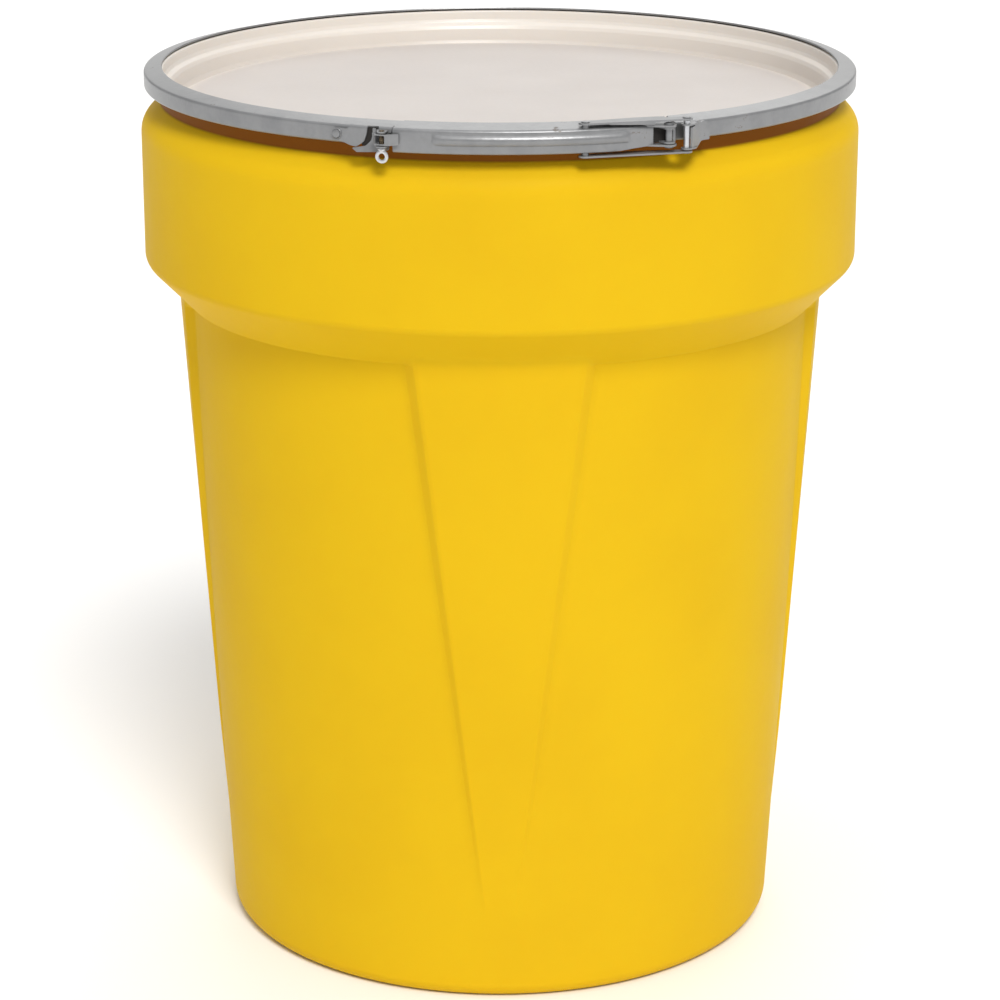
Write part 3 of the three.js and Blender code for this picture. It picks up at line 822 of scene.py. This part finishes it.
end_arc = np.radians(np.arange(90, 271, 15))[:, None]
tip_arc = np.radians(np.arange(-90, 91, 15))[:, None]
left_end = 4.9 * np.concatenate([np.cos(end_arc), np.sin(end_arc)], 1)
right_end = [link_length, 0] + 4.3 * np.concatenate([np.cos(tip_arc), np.sin(tip_arc)], 1)
link_holes = [circle(end, pin_hole) for end in link_ends]
upper_back = rounded([(0, -4.9), (38, -9.4), (56.5, -9.4), (60.5, -4.9), (link_length, -4.3)],
                     [0, 12, 1.5, 2, 0], 6)[1:-1]
lower_back = rounded([(0, -4.9), (36, -7.8), (link_length, -4.3)], [0, 60, 0], 9)[1:-1]
lip_place = folded(on_link([(16, 4.85), (50, 4.45)]))
lip_outline = closed_outline([(0, 0.4), (34, -1.1), (34, 1.9), (0, 1.9)], [1.2, 1.2, 0.2, 0.2])
for name, back, low in (("upper", upper_back, 0.8), ("lower", lower_back, -22.7)):
    outline = on_link(np.concatenate([left_end, back, right_end]))
    made = [sheet(cut_pattern([outline, *link_holes], 1.6), level_plate, low, low + 1.3)]
    if name == "upper":
        made.append(sheet(cut_pattern([lip_outline], 1), lip_place, -1.2, 0))
    strap = placed("link_strap_" + name, grey, joined(*made))
    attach(eased(strap, 0.25), "links")
    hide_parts("link_" + name)

# ---------------------------------------------------------------------------------------
# Link rivets. Four low domed rivets, painted over: two hold the links to the lever's
# flanges and two are the peened ends of the anchor pin.
for name, pivot, foot in (("lever", link_pivot, -1.9), ("anchor", anchor_pivot, 0.9)):
    head = [(0, foot), (2.4, foot), (2.4, 2.2), *domed(3.2, 2.3, 0.9)]
    upper = placed(name + "_rivet_head_upper", grey,
                   joined(post(flat_point(*pivot), head)))
    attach(upper, "links")
    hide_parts(name + "_rivet_upper")
for name, pivot, top in (("lever", link_pivot, -18.4), ("anchor", anchor_pivot, -21.45)):
    head = [(0, top), (2.4, top), (2.4, -22.7), *[(r, -z) for r, z in domed(3.2, 22.8, 0.8)]]
    lower = placed(name + "_rivet_head_lower", grey,
                   joined(post(flat_point(*pivot), head[::-1])))
    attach(lower, "links")
    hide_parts(name + "_rivet_lower")

# ---------------------------------------------------------------------------------------
# Catch plate. A pressed plate riveted to the ring's left end: a round riveted end, a body
# with one long curved edge, a strip over the ring's top edge, and beyond a slot a second
# leaf that flares out to a fin at its foot and carries the two ears for the lock pin.
# A thin dark sheet on the ring behind the slot is painted shadow.
lock_pin_at = (284.0, -17.0)
catch_section = rounded([(278.6, -24), (278.6, -2.4), (268, 0.35)], [0, 2, 0], 9)
catch_place = bent(catch_section, -10)
rivet_at = (-24.5, -9.0)
body_corners = [
    (-25.0, -13.5), (-23.6, -14.4), (-22.3, -16.6), (-21.4, -17.4), (-20.15, -13.2),
    (-19.75, -8), (-19.55, -0.9), (-17.9, -0.9), (-17.7, -5.9), (-15.9, -5.9),
    (-15.7, 2.0), (-16.5, 4.5), (-21.6, 4.5), (-22.3, 1.5), (-22.5, -3.4), (-22.8, -4.9),
    (-23.3, -4.9), (-23.7, -4.7), (-25.2, -4.6), (-25.55, -9.0),
]
body_radii = [3, 3, 3, 1.2, 4, 8, 0.8, 0.8, 0.4, 0.4, 1, 2, 2, 2, 0.8, 0.6, 0.6, 1, 3.5, 4]
leaf_corners = [
    (-21.95, -18.1), (-21.1, -20.6), (-17.8, -20.0), (-16.3, -18.4), (-16.3, -6.4),
    (-18.15, -6.2), (-18.3, -3.2), (-18.75, -3.0), (-18.8, -8), (-19.0, -12),
    (-19.85, -16.2),
]
leaf_radii = [0.3, 0.5, 3, 1.5, 0.5, 0.5, 0.6, 0.6, 8, 6, 6]


def flare(u, s):
    """The leaf's foot bends outwards, more towards its left corner."""
    fall = np.clip((-12.5 - s) / 8.0, 0, 1)
    return 2.6 * fall ** 1.6 * np.clip((-16.5 * per_degree - u) / 22, 0.2, 1)


lock_feet = [(278, -18.0, 0.8), (278, -16.6, 0.8)]
lock_hole = 2.3
rivet_hole = circle((rivet_at[0] * per_degree, rivet_at[1]), 2.1)
catch_body = closed_outline(body_corners, body_radii, degrees_to_mm)
catch_leaf = closed_outline(leaf_corners, leaf_radii, degrees_to_mm)
catch = placed("catch_plate_pressed", grey, joined(
    sheet(cut_pattern([catch_body, rivet_hole], 0.9), catch_place, -1.3, 0),
    sheet(cut_pattern([catch_leaf], 0.9), catch_place, -1.3, 0, flare),
    ear(lock_pin_at, 3.5, lock_feet, lock_hole, -5, -3.9),
    ear(lock_pin_at, 4.4, lock_feet, lock_hole, -15.5, -14.3),
))
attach(catch, "ring_left_end")
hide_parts("catch_plate")
# Painted shadow: a thin dark sheet on the ring's web behind the catch's slot.
slot_place = bent([(277.0, -24), (277.0, 5)], -10)
slot_outline = closed_outline([(-20.6, -16.6), (-18.0, -16.6), (-18.0, -3.0), (-20.6, -3.0)],
                              0.5, degrees_to_mm)
slot_painted_shade = placed("catch_slot_painted_shade", painted_shade, joined(
    sheet(cut_pattern([slot_outline], 2), slot_place, -0.3, 0)))
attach(slot_painted_shade, "ring_left_end")

# ---------------------------------------------------------------------------------------
# Catch rivet. A domed rivet with a set ring pressed round it, through the round end.
rivet_points, rivet_faces = post((0, 0), [
    (0, 276.9), (1.8, 276.9), (1.8, 278.7), (4.1, 278.7), (4.1, 279.1), (3.9, 279.3),
    (3.4, 279.2), (3.2, 278.9), (3.0, 279.2), (2.9, 279.9), (2.2, 280.2), (0, 280.3),
], 40)
turn = math.radians(rivet_at[0])
outwards = np.array([math.sin(turn), -math.cos(turn), 0])
across = np.array([math.cos(turn), math.sin(turn), 0])
upwards = np.array([0, 0, 1])
rivet_points = (rivet_points[:, :1] * across + rivet_points[:, 1:2] * upwards
                + rivet_points[:, 2:] * outwards + rivet_at[1] * upwards)
catch_rivet = placed("catch_rivet_domed", grey,
                     joined((rivet_points, [f[::-1] for f in rivet_faces])))
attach(catch_rivet, "ring_left_end")
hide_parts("catch_rivet")

# ---------------------------------------------------------------------------------------
# Lock staple. A strap of enamelled steel welded to the lever's tongue and bowed out from
# it, with a window in its face; the lock pin passes down behind it.
staple_path = divided(rounded([
    flat_point(281.3, -18.65), flat_point(282.6, -18.3), flat_point(287.45, -17.95),
    flat_point(287.45, -15.75), flat_point(282.3, -14.55), flat_point(282.2, -13.9),
], [0, 0.6, 1.2, 1.6, 2, 0], 6), 0.7)
staple_place = folded(staple_path)
staple_outline = closed_outline([(0, -13.6), (25.5, -13.6), (25.5, -5.7), (0, -5.7)], 0.8)
staple_window = closed_outline([(7.3, -12.7), (14.8, -12.7), (14.8, -6.6), (7.3, -6.6)], 1.0)
staple = placed("lock_staple_strap", grey, joined(
    sheet(cut_pattern([staple_outline, staple_window], 0.8), staple_place, -1.2, 0)))
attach(staple, "lever")
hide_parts("lock_staple")

# ---------------------------------------------------------------------------------------
# Lock pin. A zinc-plated pin pushed up through the catch's two ears behind the strap, its
# shank painted dark brown as shade, with a flat eye on a small collar at its foot for a finger or a
# seal.
# Painted shade: the shank, seen through the strap's window, is coloured dark brown for the shade it
# sits in.
shank_shade, shank_shade_shader, place = finish("shank_painted_shade", Metallic=0.7)
shank_mottle = grain(place, 900, 3)
feed(shank_shade_shader, "Base Color", shank_mottle.fade(0.4, 0.6).tint((0.03, 0.022, 0.015, 1),
                                                          (0.16, 0.12, 0.07, 1)))
feed(shank_shade_shader, "Roughness", 0.4 + shank_mottle * 0.3)
shank = placed("lock_pin_shank", shank_shade, joined(post(
    flat_point(*lock_pin_at), [(0, -16.4), (1.9, -16.4), (1.9, -3.7), (1.6, -3.3), (0, -3.2)],
)))
eye_at, eye_radius, eye_hole = -22.0, 4.9, 2.2
turn = math.radians(lock_pin_at[1])
out_way = np.array([math.sin(turn), -math.cos(turn), 0])
side_way = np.array([math.cos(turn), math.sin(turn), 0])
around_eye, around_tube = 48, 12
ring_turn = np.arange(around_eye) / around_eye * 2 * math.pi
tube_turn = np.arange(around_tube) / around_tube * 2 * math.pi
middle_radius, half_width = (eye_radius + eye_hole) / 2, (eye_radius - eye_hole) / 2
half_depth, squareness = 0.85, 0.6
reach = middle_radius + half_width * np.cos(tube_turn)
depth = half_depth * np.sign(np.sin(tube_turn)) * np.abs(np.sin(tube_turn)) ** squareness
eye_points = (
    (reach * np.cos(ring_turn)[:, None])[..., None] * side_way
    + (reach * np.sin(ring_turn)[:, None] + eye_at)[..., None] * upwards
    + (lock_pin_at[0] + depth + 0 * ring_turn[:, None])[..., None] * out_way
).reshape(-1, 3)
index = np.arange(around_eye * around_tube).reshape(around_eye, around_tube)
ahead = np.roll(index, -1, 0)
eye_faces = np.stack([index, np.roll(index, -1, 1), np.roll(ahead, -1, 1), ahead],
                     -1).reshape(-1, 4).tolist()
foot = post(flat_point(*lock_pin_at), [
    (0, -18.6), (1.5, -18.6), (2.0, -17.6), (3.0, -17.2), (3.0, -16.4), (2.6, -16.0), (0, -16.0),
])
eye = placed("lock_pin_eye", zinc, joined((eye_points, eye_faces), foot))
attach(shank, "lock_pin")
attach(eye, "lock_pin")
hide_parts("lock_pin")
